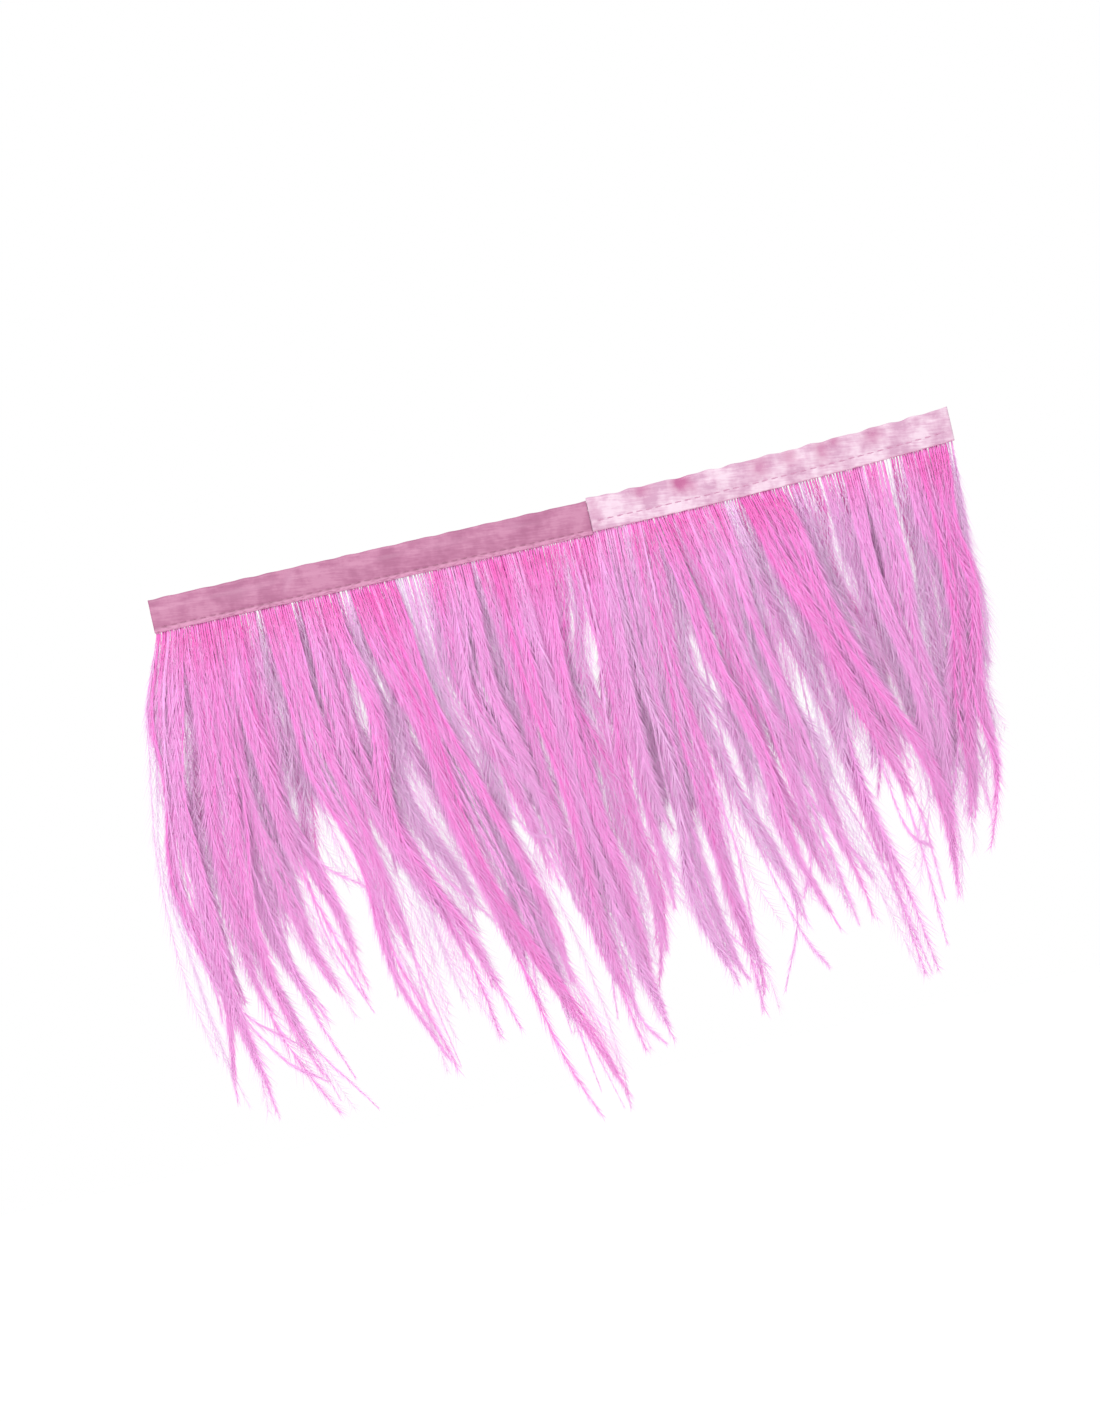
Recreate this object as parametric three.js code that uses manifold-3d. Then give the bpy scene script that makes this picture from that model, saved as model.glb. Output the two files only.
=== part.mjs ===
// Ostrich feather fringe sewn into a folded satin ribbon: one cut length, hanging from its ribbon.
// Millimetres, +Z up. X runs along the ribbon, the front faces -Y, and the origin is the middle of
// the ribbon's flat back.
//
// From the outside in: two tapes of ribbon, butted and tucked at a splice; the needle thread on
// their front and the bobbin thread on their back; in their pocket a split quill strip in front and
// one behind for each feather; and under the ribbon's mouth each feather's barbs, in locks.

import * as THREE from "three";
import { mergeVertices } from "three/addons/utils/BufferGeometryUtils.js";
import Module from "manifold-3d";

// ---------- ribbon ----------
const ribbonLength = 257;
const tapeHeight = 10.7;
const cloth = 0.35; // one layer of satin
const pocket = 1.1; // clear depth between the front and the back leaf
const hemHeight = 4; // edges of the tape turned in at the mouth
const hemCloth = 0.25;
const foldBevel = 0.3; // the rounded fold along the top

const spliceX = 12; // where the two tapes meet
const spliceRise = 0.7; // the right tape sits this much higher
const seamGap = 0.1;
const tuckLength = 6; // the left tape's pressed end, inside the right tape
const tuckAnchor = 4; // how far back the pressed layers start
const tuckClearance = 0.1;

const bowStart = 20; // from here to its right end the ribbon curves gently upwards
const bowRise = 3;
const bowSteps = 8;

// ---------- stitching ----------
const stitchHeightLeft = 1.6;
const stitchHeightRight = 2.9;
const threadDiameter = 0.3;
const grooveWidth = 0.5; // the stitches pull the satin in
const grooveDepth = 0.35;
const threadInset = 2; // from the ends of each tape
const threadSides = 8;

// ---------- feathers ----------
const stripHeight = 2.2; // split quill
const stripClearance = 0.4;
const stripEndGap = 0.5;
const plyGap = 0.1; // between the front and the back ply
const plyClearance = 0.15; // between a ply and the pocket's wall

const fringeDrop = 177; // the longest lock
const lockThickness = 4.5;
const tipThickness = 0.5;
const tipWidth = 0.8;
const swingClearance = 0.06; // between a swinging root and the ribbon's lower corner
const lockSteps = 10;
const lockFacets = 5; // round the outward side
const bellyBias = 0.7; // under 1 lifts the fullest part of a lock above its middle

// ---------- worked out ----------
const halfLength = ribbonLength / 2;
const tapeThickness = pocket + 2 * cloth;
const middleY = -tapeThickness / 2;
const tapeBottom = -tapeHeight / 2;
const plyThickness = (pocket - plyGap) / 2 - plyClearance; // of a quill strip, and of the roots
const rootHalf = plyGap / 2 + plyThickness;
const rootGap = Math.sqrt((tapeThickness / 2 + swingClearance) ** 2 - rootHalf ** 2);

// The feathers and their locks were laid out on a cut this long and this deep, and spread with it.
const patternLength = 257;
const patternDrop = 177;
const spread = ribbonLength / patternLength;
const fall = fringeDrop / patternDrop;

// Where each feather ends along the ribbon, from left to right.
const featherEnds = [-128.5, -97.5, -66, -42.5, 1.5, 57.5, 107.5, 128.5];

// Each lock: its feather, ply and letter, how far it hangs, its middle line at the root, one third,
// two thirds and the tip, and its width at the first three of those.
const locks = [
  [1, "front", "a", 153, [-124.5, -136.5, -133.5, -125.5], [7, 12, 8]],
  [1, "front", "b", 158, [-115.5, -119.5, -119.5, -101.5], [7, 11, 6]],
  [1, "front", "c", 125, [-104, -105.5, -103.5, -91.5], [12, 13, 11]],
  [1, "back", "d", 118, [-120, -127.5, -127.5, -123.5], [9, 11, 8]],
  [1, "back", "e", 130, [-108.5, -111.5, -111.5, -103.5], [12, 12, 9]],
  [2, "front", "a", 153, [-89.5, -87, -76, -66.5], [7, 8, 6]],
  [2, "front", "b", 146, [-76.5, -73, -60.5, -50.5], [9, 11, 9]],
  [2, "back", "c", 90, [-93, -93.5, -93, -90], [7, 7, 6]],
  [2, "back", "d", 88, [-82, -81, -76.5, -71.5], [9, 9, 8]],
  [2, "back", "e", 112, [-70.5, -68.5, -63, -46.5], [6, 8, 7]],
  [3, "front", "a", 177, [-59, -50, -33, -20], [12, 13, 12]],
  [3, "back", "b", 150, [-48, -44.5, -36.5, -29.5], [8, 9, 6]],
  [3, "back", "c", 100, [-60.5, -58.5, -52.5, -44.5], [9, 9, 8]],
  [4, "front", "a", 112, [-34.5, -33, -26.5, -18.5], [11, 10, 6]],
  [4, "front", "b", 160, [-19, -16, -13, -2.5], [12, 9.5, 7]],
  [4, "front", "c", 145, [-5, -5.5, -4, -1.5], [11, 9.5, 7]],
  [4, "back", "d", 92, [-26.5, -26.5, -23.5, -20.5], [10, 9, 7]],
  [4, "back", "e", 120, [-12, -10.5, -8, -5.5], [10, 9, 7]],
  [4, "back", "f", 80, [-37.5, -36.5, -33.5, -30.5], [6, 6, 5]],
  [5, "front", "a", 130, [6.5, 6.5, 4.5, 5.5], [8, 9, 5]],
  [5, "front", "b", 147, [18, 17, 17, 28], [10, 10, 10]],
  [5, "front", "c", 157, [27, 26.5, 29, 30.5], [6, 6, 5]],
  [5, "front", "d", 137, [42, 49.5, 57, 65], [20, 20, 16]],
  [5, "back", "e", 95, [11, 13.5, 14.5, 14], [11, 10, 8]],
  [5, "back", "f", 133, [34, 37, 41, 47.5], [12, 11, 7]],
  [5, "back", "g", 100, [49, 54, 56.5, 58.5], [12, 12, 11]],
  [5, "back", "h", 110, [22.5, 24, 24.5, 22.5], [7, 7, 6]],
  [6, "front", "a", 135, [66, 78, 91, 93.5], [11, 12, 7]],
  [6, "front", "b", 118, [99, 99.5, 102.5, 100.5], [11, 10, 7]],
  [6, "back", "c", 100, [82, 85, 86, 82], [9, 9, 8]],
  [6, "back", "d", 157, [61, 67.5, 75.5, 84.5], [4, 5, 4]],
  [6, "back", "e", 105, [92, 94.5, 96, 98], [8, 7.5, 6]],
  [6, "back", "f", 95, [71.5, 76, 79, 77], [8, 7.5, 5]],
  [7, "front", "a", 125, [118.5, 118, 114, 109], [12, 10, 8]],
  [7, "back", "b", 112, [112.5, 111.5, 112, 109.5], [6, 6, 5]],
  [7, "back", "c", 100, [121.5, 120, 118, 114.5], [9, 8, 6]],
];

// ---------- materials ----------
const satinDusty = new THREE.MeshStandardMaterial({ color: 0xd28db0, roughness: 0.45, metalness: 0 });
const satinPale = new THREE.MeshStandardMaterial({ color: 0xeecde4, roughness: 0.35, metalness: 0 });
const thread = new THREE.MeshStandardMaterial({ color: 0xd7679f, roughness: 0.6, metalness: 0 });
const quill = new THREE.MeshStandardMaterial({ color: 0xd977ac, roughness: 0.5, metalness: 0 });
const barbs = new THREE.MeshStandardMaterial({ color: 0xf28acb, roughness: 0.8, metalness: 0 });

const fringe = new THREE.Group();

function addPiece(name, geometry, material) {
  const mesh = new THREE.Mesh(geometry, material);
  mesh.name = name;
  fringe.add(mesh);
}

// ---------- solids ----------
function signedVolume(points, index) {
  const [a, b, c] = [new THREE.Vector3(), new THREE.Vector3(), new THREE.Vector3()];
  let volume = 0;
  for (let i = 0; i < index.length; i += 3) {
    a.copy(points[index[i]]);
    b.copy(points[index[i + 1]]);
    c.copy(points[index[i + 2]]);
    volume += a.dot(b.cross(c)) / 6;
  }
  return volume;
}

// A closed solid through a row of flat outlines that all have as many points. place puts an
// outline's point where it belongs in space.
function loft(outlines, place) {
  const clockwise = THREE.ShapeUtils.isClockWise(outlines[0]);
  const rings = outlines.map((outline) => (clockwise ? [...outline].reverse() : outline));
  const count = rings[0].length;
  const last = rings.length - 1;
  const points = rings.flatMap((ring, row) => ring.map((point) => place(point, row)));
  const index = [];
  for (let row = 0; row < last; row += 1) {
    for (let i = 0; i < count; i += 1) {
      const here = row * count + i;
      const next = row * count + ((i + 1) % count);
      index.push(here, next, next + count, here, next + count, here + count);
    }
  }
  for (const [i, j, k] of THREE.ShapeUtils.triangulateShape(rings[0], [])) {
    index.push(k, j, i);
  }
  for (const [i, j, k] of THREE.ShapeUtils.triangulateShape(rings[last], [])) {
    index.push(last * count + i, last * count + j, last * count + k);
  }
  if (signedVolume(points, index) < 0) {
    index.reverse();
  }
  const geometry = new THREE.BufferGeometry().setFromPoints(points);
  geometry.setIndex(index);
  return geometry;
}

const weldDistance = 1e-5;
const wasm = await Module();
wasm.setup();

function toSolid(geometry) {
  const bare = geometry.clone();
  bare.deleteAttribute("normal");
  bare.deleteAttribute("uv");
  const merged = mergeVertices(bare, weldDistance);
  const vertProperties = new Float32Array(merged.attributes.position.array);
  const triVerts = new Uint32Array(merged.index.array);
  return new wasm.Manifold(new wasm.Mesh({ numProp: 3, vertProperties, triVerts }));
}

function toGeometry(solid) {
  const { vertProperties, triVerts } = solid.getMesh();
  const geometry = new THREE.BufferGeometry();
  geometry.setAttribute("position", new THREE.BufferAttribute(vertProperties, 3));
  geometry.setIndex(new THREE.BufferAttribute(triVerts, 1));
  return geometry;
}

function box([x0, x1], [y0, y1], [z0, z1]) {
  const geometry = new THREE.BoxGeometry(x1 - x0, y1 - y0, z1 - z0);
  return geometry.translate((x0 + x1) / 2, (y0 + y1) / 2, (z0 + z1) / 2);
}

// ---------- where the ribbon runs ----------
function bow(x) {
  const share = Math.max(0, (x - bowStart) / (halfLength - bowStart));
  return bowRise * share ** 2;
}

// The height of the ribbon's lower edge.
function edgeHeight(x) {
  return tapeBottom + bow(x) + (x > spliceX ? spliceRise : 0);
}

// Stations along X: the two ends, and more of them where the ribbon curves.
function stations(from, to) {
  const curved = Array.from({ length: bowSteps }, (_, i) =>
    THREE.MathUtils.lerp(bowStart, halfLength, i / bowSteps));
  return [from, ...curved.filter((x) => x > from + seamGap && x < to - seamGap), to];
}

// A bar along the ribbon. Its outline is drawn as depth and height, from the ribbon's middle plane
// and from the height that base gives.
function alongRibbon(outline, from, to, base) {
  const xs = stations(from, to);
  return loft(xs.map(() => outline), (point, row) =>
    new THREE.Vector3(xs[row], middleY + point.x, base + bow(xs[row]) + point.y));
}

// ---------- tapes ----------
// Half of the tape's section, from the mouth up: the outer line with the stitch's groove, and the
// inner line round the turned-in hem.
function tapeSection(stitchHeight) {
  const outer = tapeThickness / 2;
  const inner = pocket / 2;
  const lip = inner - hemCloth;
  const outside = [
    [lip, 0],
    [outer, 0],
    [outer, stitchHeight - grooveWidth / 2],
    [outer - grooveDepth, stitchHeight - grooveWidth / 2],
    [outer - grooveDepth, stitchHeight + grooveWidth / 2],
    [outer, stitchHeight + grooveWidth / 2],
    [outer, tapeHeight - foldBevel],
    [outer - foldBevel, tapeHeight],
  ];
  const inside = [
    [lip, hemHeight],
    [inner, hemHeight],
    [inner, tapeHeight - cloth - foldBevel],
    [inner - foldBevel, tapeHeight - cloth],
  ];
  const mirrored = (side) => side.map(([depth, height]) => [-depth, height]);
  const outline = [
    ...outside,
    ...mirrored(outside).reverse(),
    ...mirrored(inside),
    ...[...inside].reverse(),
  ];
  return outline.map(([depth, height]) => new THREE.Vector2(depth, height));
}

const rightBottom = tapeBottom + spliceRise;
const stripTop = rightBottom + hemHeight + stripClearance + stripHeight;
const tuckHeights = [stripTop + stripClearance, tapeBottom + tapeHeight - cloth - foldBevel];

// The pressed layers fill the left tape's pocket above the quills, and slide on into the right one.
function tuckedEnd() {
  const pressed = pocket / 2 + cloth / 2;
  const slim = pocket / 2 - tuckClearance;
  const plug = box([spliceX - tuckAnchor, spliceX - seamGap], [middleY - pressed, middleY + pressed],
    tuckHeights);
  const tongue = box([spliceX - tuckAnchor, spliceX + tuckLength], [middleY - slim, middleY + slim],
    tuckHeights);
  return toSolid(plug).add(toSolid(tongue));
}

const leftTape = alongRibbon(tapeSection(stitchHeightLeft), -halfLength, spliceX - seamGap, tapeBottom);
const rightTape = alongRibbon(tapeSection(stitchHeightRight), spliceX, halfLength, rightBottom);
addPiece("ribbon_left", toGeometry(toSolid(leftTape).add(tuckedEnd())), satinDusty);
addPiece("ribbon_right", rightTape, satinPale);

// ---------- threads ----------
function threadOutline(depth, height) {
  return Array.from({ length: threadSides }, (_, i) => {
    const angle = ((i + 0.5) / threadSides) * 2 * Math.PI;
    return new THREE.Vector2(
      depth + (threadDiameter / 2) * Math.cos(angle),
      height + (threadDiameter / 2) * Math.sin(angle));
  });
}

const threadDepth = tapeThickness / 2 - grooveDepth / 2;
for (const [side, from, to, base, stitchHeight] of [
  ["left", -halfLength, spliceX, tapeBottom, stitchHeightLeft],
  ["right", spliceX, halfLength, rightBottom, stitchHeightRight],
]) {
  for (const [spool, face] of [["needle", -1], ["bobbin", 1]]) {
    const outline = threadOutline(face * threadDepth, stitchHeight);
    const bar = alongRibbon(outline, from + threadInset, to - threadInset, base);
    addPiece(`${spool}_thread_${side}`, bar, thread);
  }
}

// ---------- quill strips ----------
function stripOutline(face) {
  const near = (face * plyGap) / 2;
  const far = near + face * plyThickness;
  return [[near, 0], [far, 0], [far, stripHeight], [near, stripHeight]].map(
    ([depth, height]) => new THREE.Vector2(depth, height));
}

for (let feather = 1; feather < featherEnds.length; feather += 1) {
  const from = featherEnds[feather - 1] * spread + stripEndGap;
  const to = featherEnds[feather] * spread - stripEndGap;
  const base = (to > spliceX ? rightBottom : tapeBottom) + hemHeight + stripClearance;
  addPiece(`quill_${feather}_front`, alongRibbon(stripOutline(-1), from, to, base), quill);
  addPiece(`quill_${feather}_back`, alongRibbon(stripOutline(1), from, to, base), quill);
}

// ---------- locks of barbs ----------
// Flat towards the other ply and rounded outwards.
function lockOutline(face, width, thickness) {
  return Array.from({ length: lockFacets + 1 }, (_, i) => {
    const angle = (i / lockFacets) * Math.PI;
    const depth = face * (plyGap / 2 + thickness * Math.sin(angle));
    return new THREE.Vector2((width / 2) * Math.cos(angle), depth);
  });
}

// Thin at the root, fullest above the middle, and thin again at the tip.
function thicknessAt(share) {
  const belly = Math.sin(Math.PI * share ** bellyBias);
  const taper = THREE.MathUtils.lerp(plyThickness, tipThickness, share);
  return taper + (lockThickness - plyThickness) * belly;
}

function lockOfBarbs(face, drop, middles, widths) {
  const root = middles[0] * spread;
  const rootWidth = widths[0] * spread;
  const top = Math.min(edgeHeight(root - rootWidth / 2), edgeHeight(root + rootWidth / 2)) - rootGap;
  const spine = new THREE.SplineCurve(middles.map((x, third) =>
    new THREE.Vector2(x * spread, top - (third / 3) * drop * fall)));
  const girth = new THREE.SplineCurve([...widths, tipWidth / spread].map((width, third) =>
    new THREE.Vector2(third / 3, width * spread)));
  const shares = Array.from({ length: lockSteps + 1 }, (_, i) => i / lockSteps);
  const centres = shares.map((share) => spine.getPoint(share));
  const outlines = shares.map((share) =>
    lockOutline(face, girth.getPoint(share).y, thicknessAt(share)));
  return loft(outlines, (point, row) =>
    new THREE.Vector3(centres[row].x + point.x, middleY + point.y, centres[row].y));
}

for (const [feather, ply, letter, drop, middles, widths] of locks) {
  const face = ply === "front" ? -1 : 1;
  addPiece(`barbs_${feather}_${ply}_${letter}`, lockOfBarbs(face, drop, middles, widths), barbs);
}

export default fringe;
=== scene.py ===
"""Ostrich feather fringe hanging from a folded satin ribbon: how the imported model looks.

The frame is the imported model's: X along the ribbon, the front faces -Y, +Z up. Lengths are written in
millimetres and multiplied by MM where they meet Blender. Only the materials' noise sizes and bump
heights and the lights' places are in metres, and the barbs' own noise is in shares of their map.
"""

import math

import bpy
import numpy as np
from mathutils import Matrix, Vector


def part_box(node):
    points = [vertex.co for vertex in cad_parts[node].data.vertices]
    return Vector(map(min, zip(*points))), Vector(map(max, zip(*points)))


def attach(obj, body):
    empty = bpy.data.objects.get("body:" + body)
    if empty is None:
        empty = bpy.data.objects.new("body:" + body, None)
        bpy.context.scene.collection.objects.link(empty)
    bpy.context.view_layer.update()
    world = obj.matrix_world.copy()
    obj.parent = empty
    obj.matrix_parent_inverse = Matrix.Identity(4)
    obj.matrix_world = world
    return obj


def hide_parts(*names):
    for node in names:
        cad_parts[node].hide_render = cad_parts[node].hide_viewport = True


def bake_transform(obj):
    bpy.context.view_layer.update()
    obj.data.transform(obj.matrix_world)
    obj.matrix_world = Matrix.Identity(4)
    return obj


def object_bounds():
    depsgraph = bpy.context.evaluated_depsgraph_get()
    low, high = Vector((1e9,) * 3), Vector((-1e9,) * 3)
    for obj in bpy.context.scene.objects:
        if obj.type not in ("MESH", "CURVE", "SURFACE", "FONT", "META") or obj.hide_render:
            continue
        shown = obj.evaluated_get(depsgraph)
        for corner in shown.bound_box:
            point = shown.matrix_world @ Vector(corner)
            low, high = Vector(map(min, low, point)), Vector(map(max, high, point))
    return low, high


MM = 0.001

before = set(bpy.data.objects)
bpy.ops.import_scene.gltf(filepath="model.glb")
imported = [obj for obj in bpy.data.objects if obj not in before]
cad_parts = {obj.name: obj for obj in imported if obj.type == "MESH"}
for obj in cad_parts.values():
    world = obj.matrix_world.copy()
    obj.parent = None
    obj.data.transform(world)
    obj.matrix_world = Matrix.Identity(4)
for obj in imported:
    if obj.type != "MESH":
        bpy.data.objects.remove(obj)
cad_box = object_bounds()
scene = bpy.context.scene

# ---------- the ribbon, as the CAD has it ----------
MIDDLE_Y = -0.9
OUTER = 0.9  # from the middle plane to the ribbon's face
TAPE_HEIGHT = 10.7
MOUTH = 0.3  # half of the gap that the barbs hang through
CLOTH = 0.25
HEM_HEIGHT = 4.0
TUCK_LENGTH = 6.0  # of the left tape's pressed end, inside the right tape
TUCK_ANCHOR = 4.0  # how far back inside the left tape it starts
TUCK_BOTTOM = 2.4  # its heights in the frame
TUCK_TOP = 4.65
TUCK_HALF = 0.28  # half its depth, to the middle of its cloth
TUCK_CLOTH = 0.08  # half the pressed cloth's thickness
SPLICE_GAP = 0.1  # between the two tapes' folded edges
STATION_STEP = 0.5  # along a tape, about how far apart the rows of its mesh are

# ---------- stitches ----------
STITCH_PITCH = 3.1
STITCH_LENGTH = 2.5
STITCH_DIVE = 0.16  # how far a stitch's two ends go into the cloth
STITCH_STAND = 0.35  # how far its middle stands off the cloth, as a share of the thread's radius
STITCH_SHIFT = 0.08  # the most that chance moves a stitch along the seam
STITCH_RISE = 0.06  # or across it
STITCH_SLOPE = 0.05  # or raises one end of it
THREAD_RADIUS = 0.15

# ---------- barbs ----------
ROOT_RISE = 4.2  # barbs start this far above the ribbon's lower edge, just under the quill
ROOT_HALF_WIDTH = 0.16  # of a stem inside the ribbon
MOUTH_RISE = 0.3  # where the barbs pass the ribbon's folded lips
END_MARGIN = 0.5  # roots keep this far from the ribbon's cut ends
SEGMENTS = 30
BACKWARDS = np.array([0.0, 1.0, 0.0])
EDGE_LEVEL = -4.65  # the height that the strays' depths are measured from
STRAY_TURN = 0.45  # a stray leaves its lock this share of the way to its first place
STRAY_SHADE = 0.6  # strays are paler than their lock
STRAY_BARBULE_LENGTH = 110.0  # the barb length that a stray's barbules are counted for
STITCH_SEED = 20
LOCK_SEED = 100  # the first lock's seed, and each next lock has the next one


# ---------- small helpers ----------
def smooth(value, start, end):
    """A soft step, from 0 at start to 1 at end."""
    share = np.clip((value - start) / (end - start), 0, 1)
    return share * share * (3 - 2 * share)


def unit(vectors):
    return vectors / np.linalg.norm(vectors, axis=-1, keepdims=True)


def node_points(name):
    """A CAD node's vertices, in millimetres."""
    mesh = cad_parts[name].data
    flat = np.empty(len(mesh.vertices) * 3)
    mesh.vertices.foreach_get("co", flat)
    return flat.reshape(-1, 3) / MM


def mesh_object(name, points, faces, uv=None, shade_smooth=True):
    """A mesh from millimetre points and rows of triangles or quads, with a map of one uv a corner."""
    mesh = bpy.data.meshes.new(name)
    sides = faces.shape[1]
    mesh.vertices.add(len(points))
    mesh.vertices.foreach_set("co", (points * MM).astype(np.float32).ravel())
    mesh.loops.add(faces.size)
    mesh.loops.foreach_set("vertex_index", faces.astype(np.int32).ravel())
    mesh.polygons.add(len(faces))
    mesh.polygons.foreach_set("loop_start", np.arange(0, faces.size, sides, dtype=np.int32))
    if uv is not None:
        uv_map = mesh.uv_layers.new(name="OFBake")
        uv_map.data.foreach_set("uv", uv.astype(np.float32).ravel())
    mesh.update(calc_edges=True)
    mesh.validate()
    smoothed = np.broadcast_to(shade_smooth, len(mesh.polygons))
    mesh.polygons.foreach_set("use_smooth", np.ascontiguousarray(smoothed))
    piece = bpy.data.objects.new(name, mesh)
    scene.collection.objects.link(piece)
    return piece


# ---------- materials ----------
def new_material(name):
    material = bpy.data.materials.new(name)
    material.use_nodes = True
    return material, material.node_tree, material.node_tree.nodes["Principled BSDF"]


def add(tree, kind, inputs=None, **settings):
    """A shader node with its settings, and its inputs given as values or as sockets to link."""
    made = tree.nodes.new(kind)
    for key, value in settings.items():
        setattr(made, key, value)
    for key, value in (inputs or {}).items():
        if isinstance(value, bpy.types.NodeSocket):
            tree.links.new(value, made.inputs[key])
        else:
            made.inputs[key].default_value = value
    return made


def ramp(tree, factor, stops):
    """A colour ramp with stops of (position, sRGB colour)."""
    made = add(tree, "ShaderNodeValToRGB", {"Fac": factor})
    elements = made.color_ramp.elements
    while len(elements) < len(stops):
        elements.new(0.5)
    for element, (position, colour) in zip(elements, stops):
        element.position = position
        element.color = linear(colour)
    return made.outputs["Color"]


def share_ramp(tree, factor, *stops):
    """A grey ramp used as a share, with stops of (position, grey byte)."""
    return ramp(tree, factor, [(position, (level, level, level)) for position, level in stops])


def linear(colour):
    """An sRGB colour of three bytes as the linear four numbers that a socket takes."""
    parts = [c / 255 for c in colour]
    return [c / 12.92 if c <= 0.04045 else ((c + 0.055) / 1.055) ** 2.4 for c in parts] + [1.0]


def sized_noise(tree, coordinates, size, detail=3.0, roughness=0.5, slant=0.0):
    """Noise with features of the given size along each axis, turned by slant degrees about Y."""
    turn = (0, math.radians(slant), 0)
    mapping = add(tree, "ShaderNodeMapping", {
        "Vector": coordinates, "Scale": size, "Rotation": turn}, vector_type="TEXTURE")
    noise = add(tree, "ShaderNodeTexNoise", {
        "Vector": mapping.outputs["Vector"], "Scale": 1.0, "Detail": detail, "Roughness": roughness})
    return noise.outputs["Fac"]


def mix(tree, factor, a, b, blend="MIX"):
    made = add(tree, "ShaderNodeMix", data_type="RGBA", blend_type=blend)
    for socket, value in ((made.inputs[0], factor), (made.inputs[6], a), (made.inputs[7], b)):
        if isinstance(value, bpy.types.NodeSocket):
            tree.links.new(value, socket)
        else:
            socket.default_value = value
    return made.outputs[2]


def attribute(tree, name):
    return add(tree, "ShaderNodeAttribute", attribute_name=name).outputs["Fac"]


def grey(tree, value):
    made = add(tree, "ShaderNodeCombineColor", {"Red": value, "Green": value, "Blue": value})
    return made.outputs["Color"]


def vary_roughness(tree, shader, value, low, high, limits=(0.3, 0.7)):
    """Roughness from low to high, as the value goes between its limits."""
    rough = add(tree, "ShaderNodeMapRange", {
        "Value": value, "From Min": limits[0], "From Max": limits[1], "To Min": low, "To Max": high})
    tree.links.new(rough.outputs["Result"], shader.inputs["Roughness"])


def set_finish(shader, specular, sheen, sheen_roughness, sheen_tint):
    shader.inputs["Specular IOR Level"].default_value = specular
    shader.inputs["Sheen Weight"].default_value = sheen
    shader.inputs["Sheen Roughness"].default_value = sheen_roughness
    shader.inputs["Sheen Tint"].default_value = linear(sheen_tint)


def satin(name, dark, middle, light, roughness, weave, streak, dent_shading, lip):
    """Satin: uneven dye, fine slanted streaks, a woven bump, painted shading in its dents, and a lower
    lip band that is a painted highlight on the left tape and a darker line on the right, broken up by
    noise.
    """
    material, tree, shader = new_material(name)
    coordinates = add(tree, "ShaderNodeTexCoord").outputs["Object"]
    patches = sized_noise(tree, coordinates, (0.0065, 0.004, 0.0075), 3.0, 0.6)
    streaks = sized_noise(tree, coordinates, (0.0048, 0.001, 0.00055), 2.5, 0.6, slant=7)
    floats = sized_noise(tree, coordinates, (0.009, 0.00035, 0.00038), 2.0, slant=4)
    weft = sized_noise(tree, coordinates, (0.0006, 0.0033, 0.0042), 2.0)
    value = add(tree, "ShaderNodeMath", {0: streaks, 1: streak, 2: patches}, operation="MULTIPLY_ADD")
    dyed = ramp(tree, value.outputs[0], [
        (0.36 + streak / 2, dark), (0.5 + streak / 2, middle), (0.64 + streak / 2, light)])
    # Dents take a painted shading: darker in the right tape's dents, lighter along the left tape's
    # crease.
    dent_shaded = mix(tree, attribute(tree, "painted_dent_shading"), dyed, linear(dent_shading))
    # The lower lip band: a painted highlight along the left tape's rolled lower edge, and a darker line
    # along the right tape's lowest edge, both broken up by noise.
    lip_noise = sized_noise(tree, coordinates, (0.0016, 0.001, 0.0005), 2.0)
    lip_breakup = share_ramp(tree, lip_noise, (0.36, 60), (0.56, 255))
    rolled = mix(tree, 1.0, grey(tree, attribute(tree, "lip")), lip_breakup, "MULTIPLY")
    colour = mix(tree, rolled, dent_shaded, linear(lip))
    tree.links.new(colour, shader.inputs["Base Color"])
    cloth = mix(tree, 0.45, grey(tree, floats), grey(tree, weft))
    bump = add(tree, "ShaderNodeBump", {"Height": cloth, "Strength": weave, "Distance": 0.00006})
    tree.links.new(bump.outputs["Normal"], shader.inputs["Normal"])
    vary_roughness(tree, shader, patches, roughness - 0.08, roughness + 0.1)
    set_finish(shader, 0.55, 0.35, 0.35, (255, 225, 243))
    return material


BARB_SHADES = [
    (0.0, (228, 208, 231)), (0.22, (237, 186, 231)), (0.42, (243, 172, 231)),
    (0.62, (246, 157, 227)), (0.82, (245, 134, 217)), (1.0, (242, 108, 203)),
]
BARB_STREAK = (247, 182, 234)
BARB_TIP = (228, 180, 221)
BARB_ROOT = (228, 84, 174)


def barb_material():
    """Dyed barbs. The map's V is the barb's own shade, and its U runs from its root to its tip."""
    material, tree, shader = new_material("barbs")
    place = add(tree, "ShaderNodeUVMap", uv_map="OFBake").outputs["UV"]
    parts = add(tree, "ShaderNodeSeparateXYZ", {"Vector": place})
    along, shade = parts.outputs["X"], parts.outputs["Y"]
    body = ramp(tree, shade, BARB_SHADES)
    streaks = sized_noise(tree, place, (0.038, 0.011, 1), 3.0)
    streaked = mix(tree, share_ramp(tree, streaks, (0.3, 0), (0.75, 120)), body, linear(BARB_STREAK))
    paler = share_ramp(tree, along, (0.4, 0), (0.75, 100), (1.0, 195))
    faded = mix(tree, paler, streaked, linear(BARB_TIP))
    # Near their roots, barbs with a high shade value turn a darker hot pink.
    near_root = share_ramp(tree, along, (0.02, 225), (0.17, 0))
    high_shade_share = share_ramp(tree, shade, (0.2, 0), (0.55, 255))
    heat = mix(tree, 1.0, near_root, high_shade_share, "MULTIPLY")
    rooted = mix(tree, heat, faded, linear(BARB_ROOT))
    tree.links.new(rooted, shader.inputs["Base Color"])
    vary_roughness(tree, shader, streaks, 0.5, 0.72)
    set_finish(shader, 0.3, 0.15, 0.5, (255, 205, 236))
    return material


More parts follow.
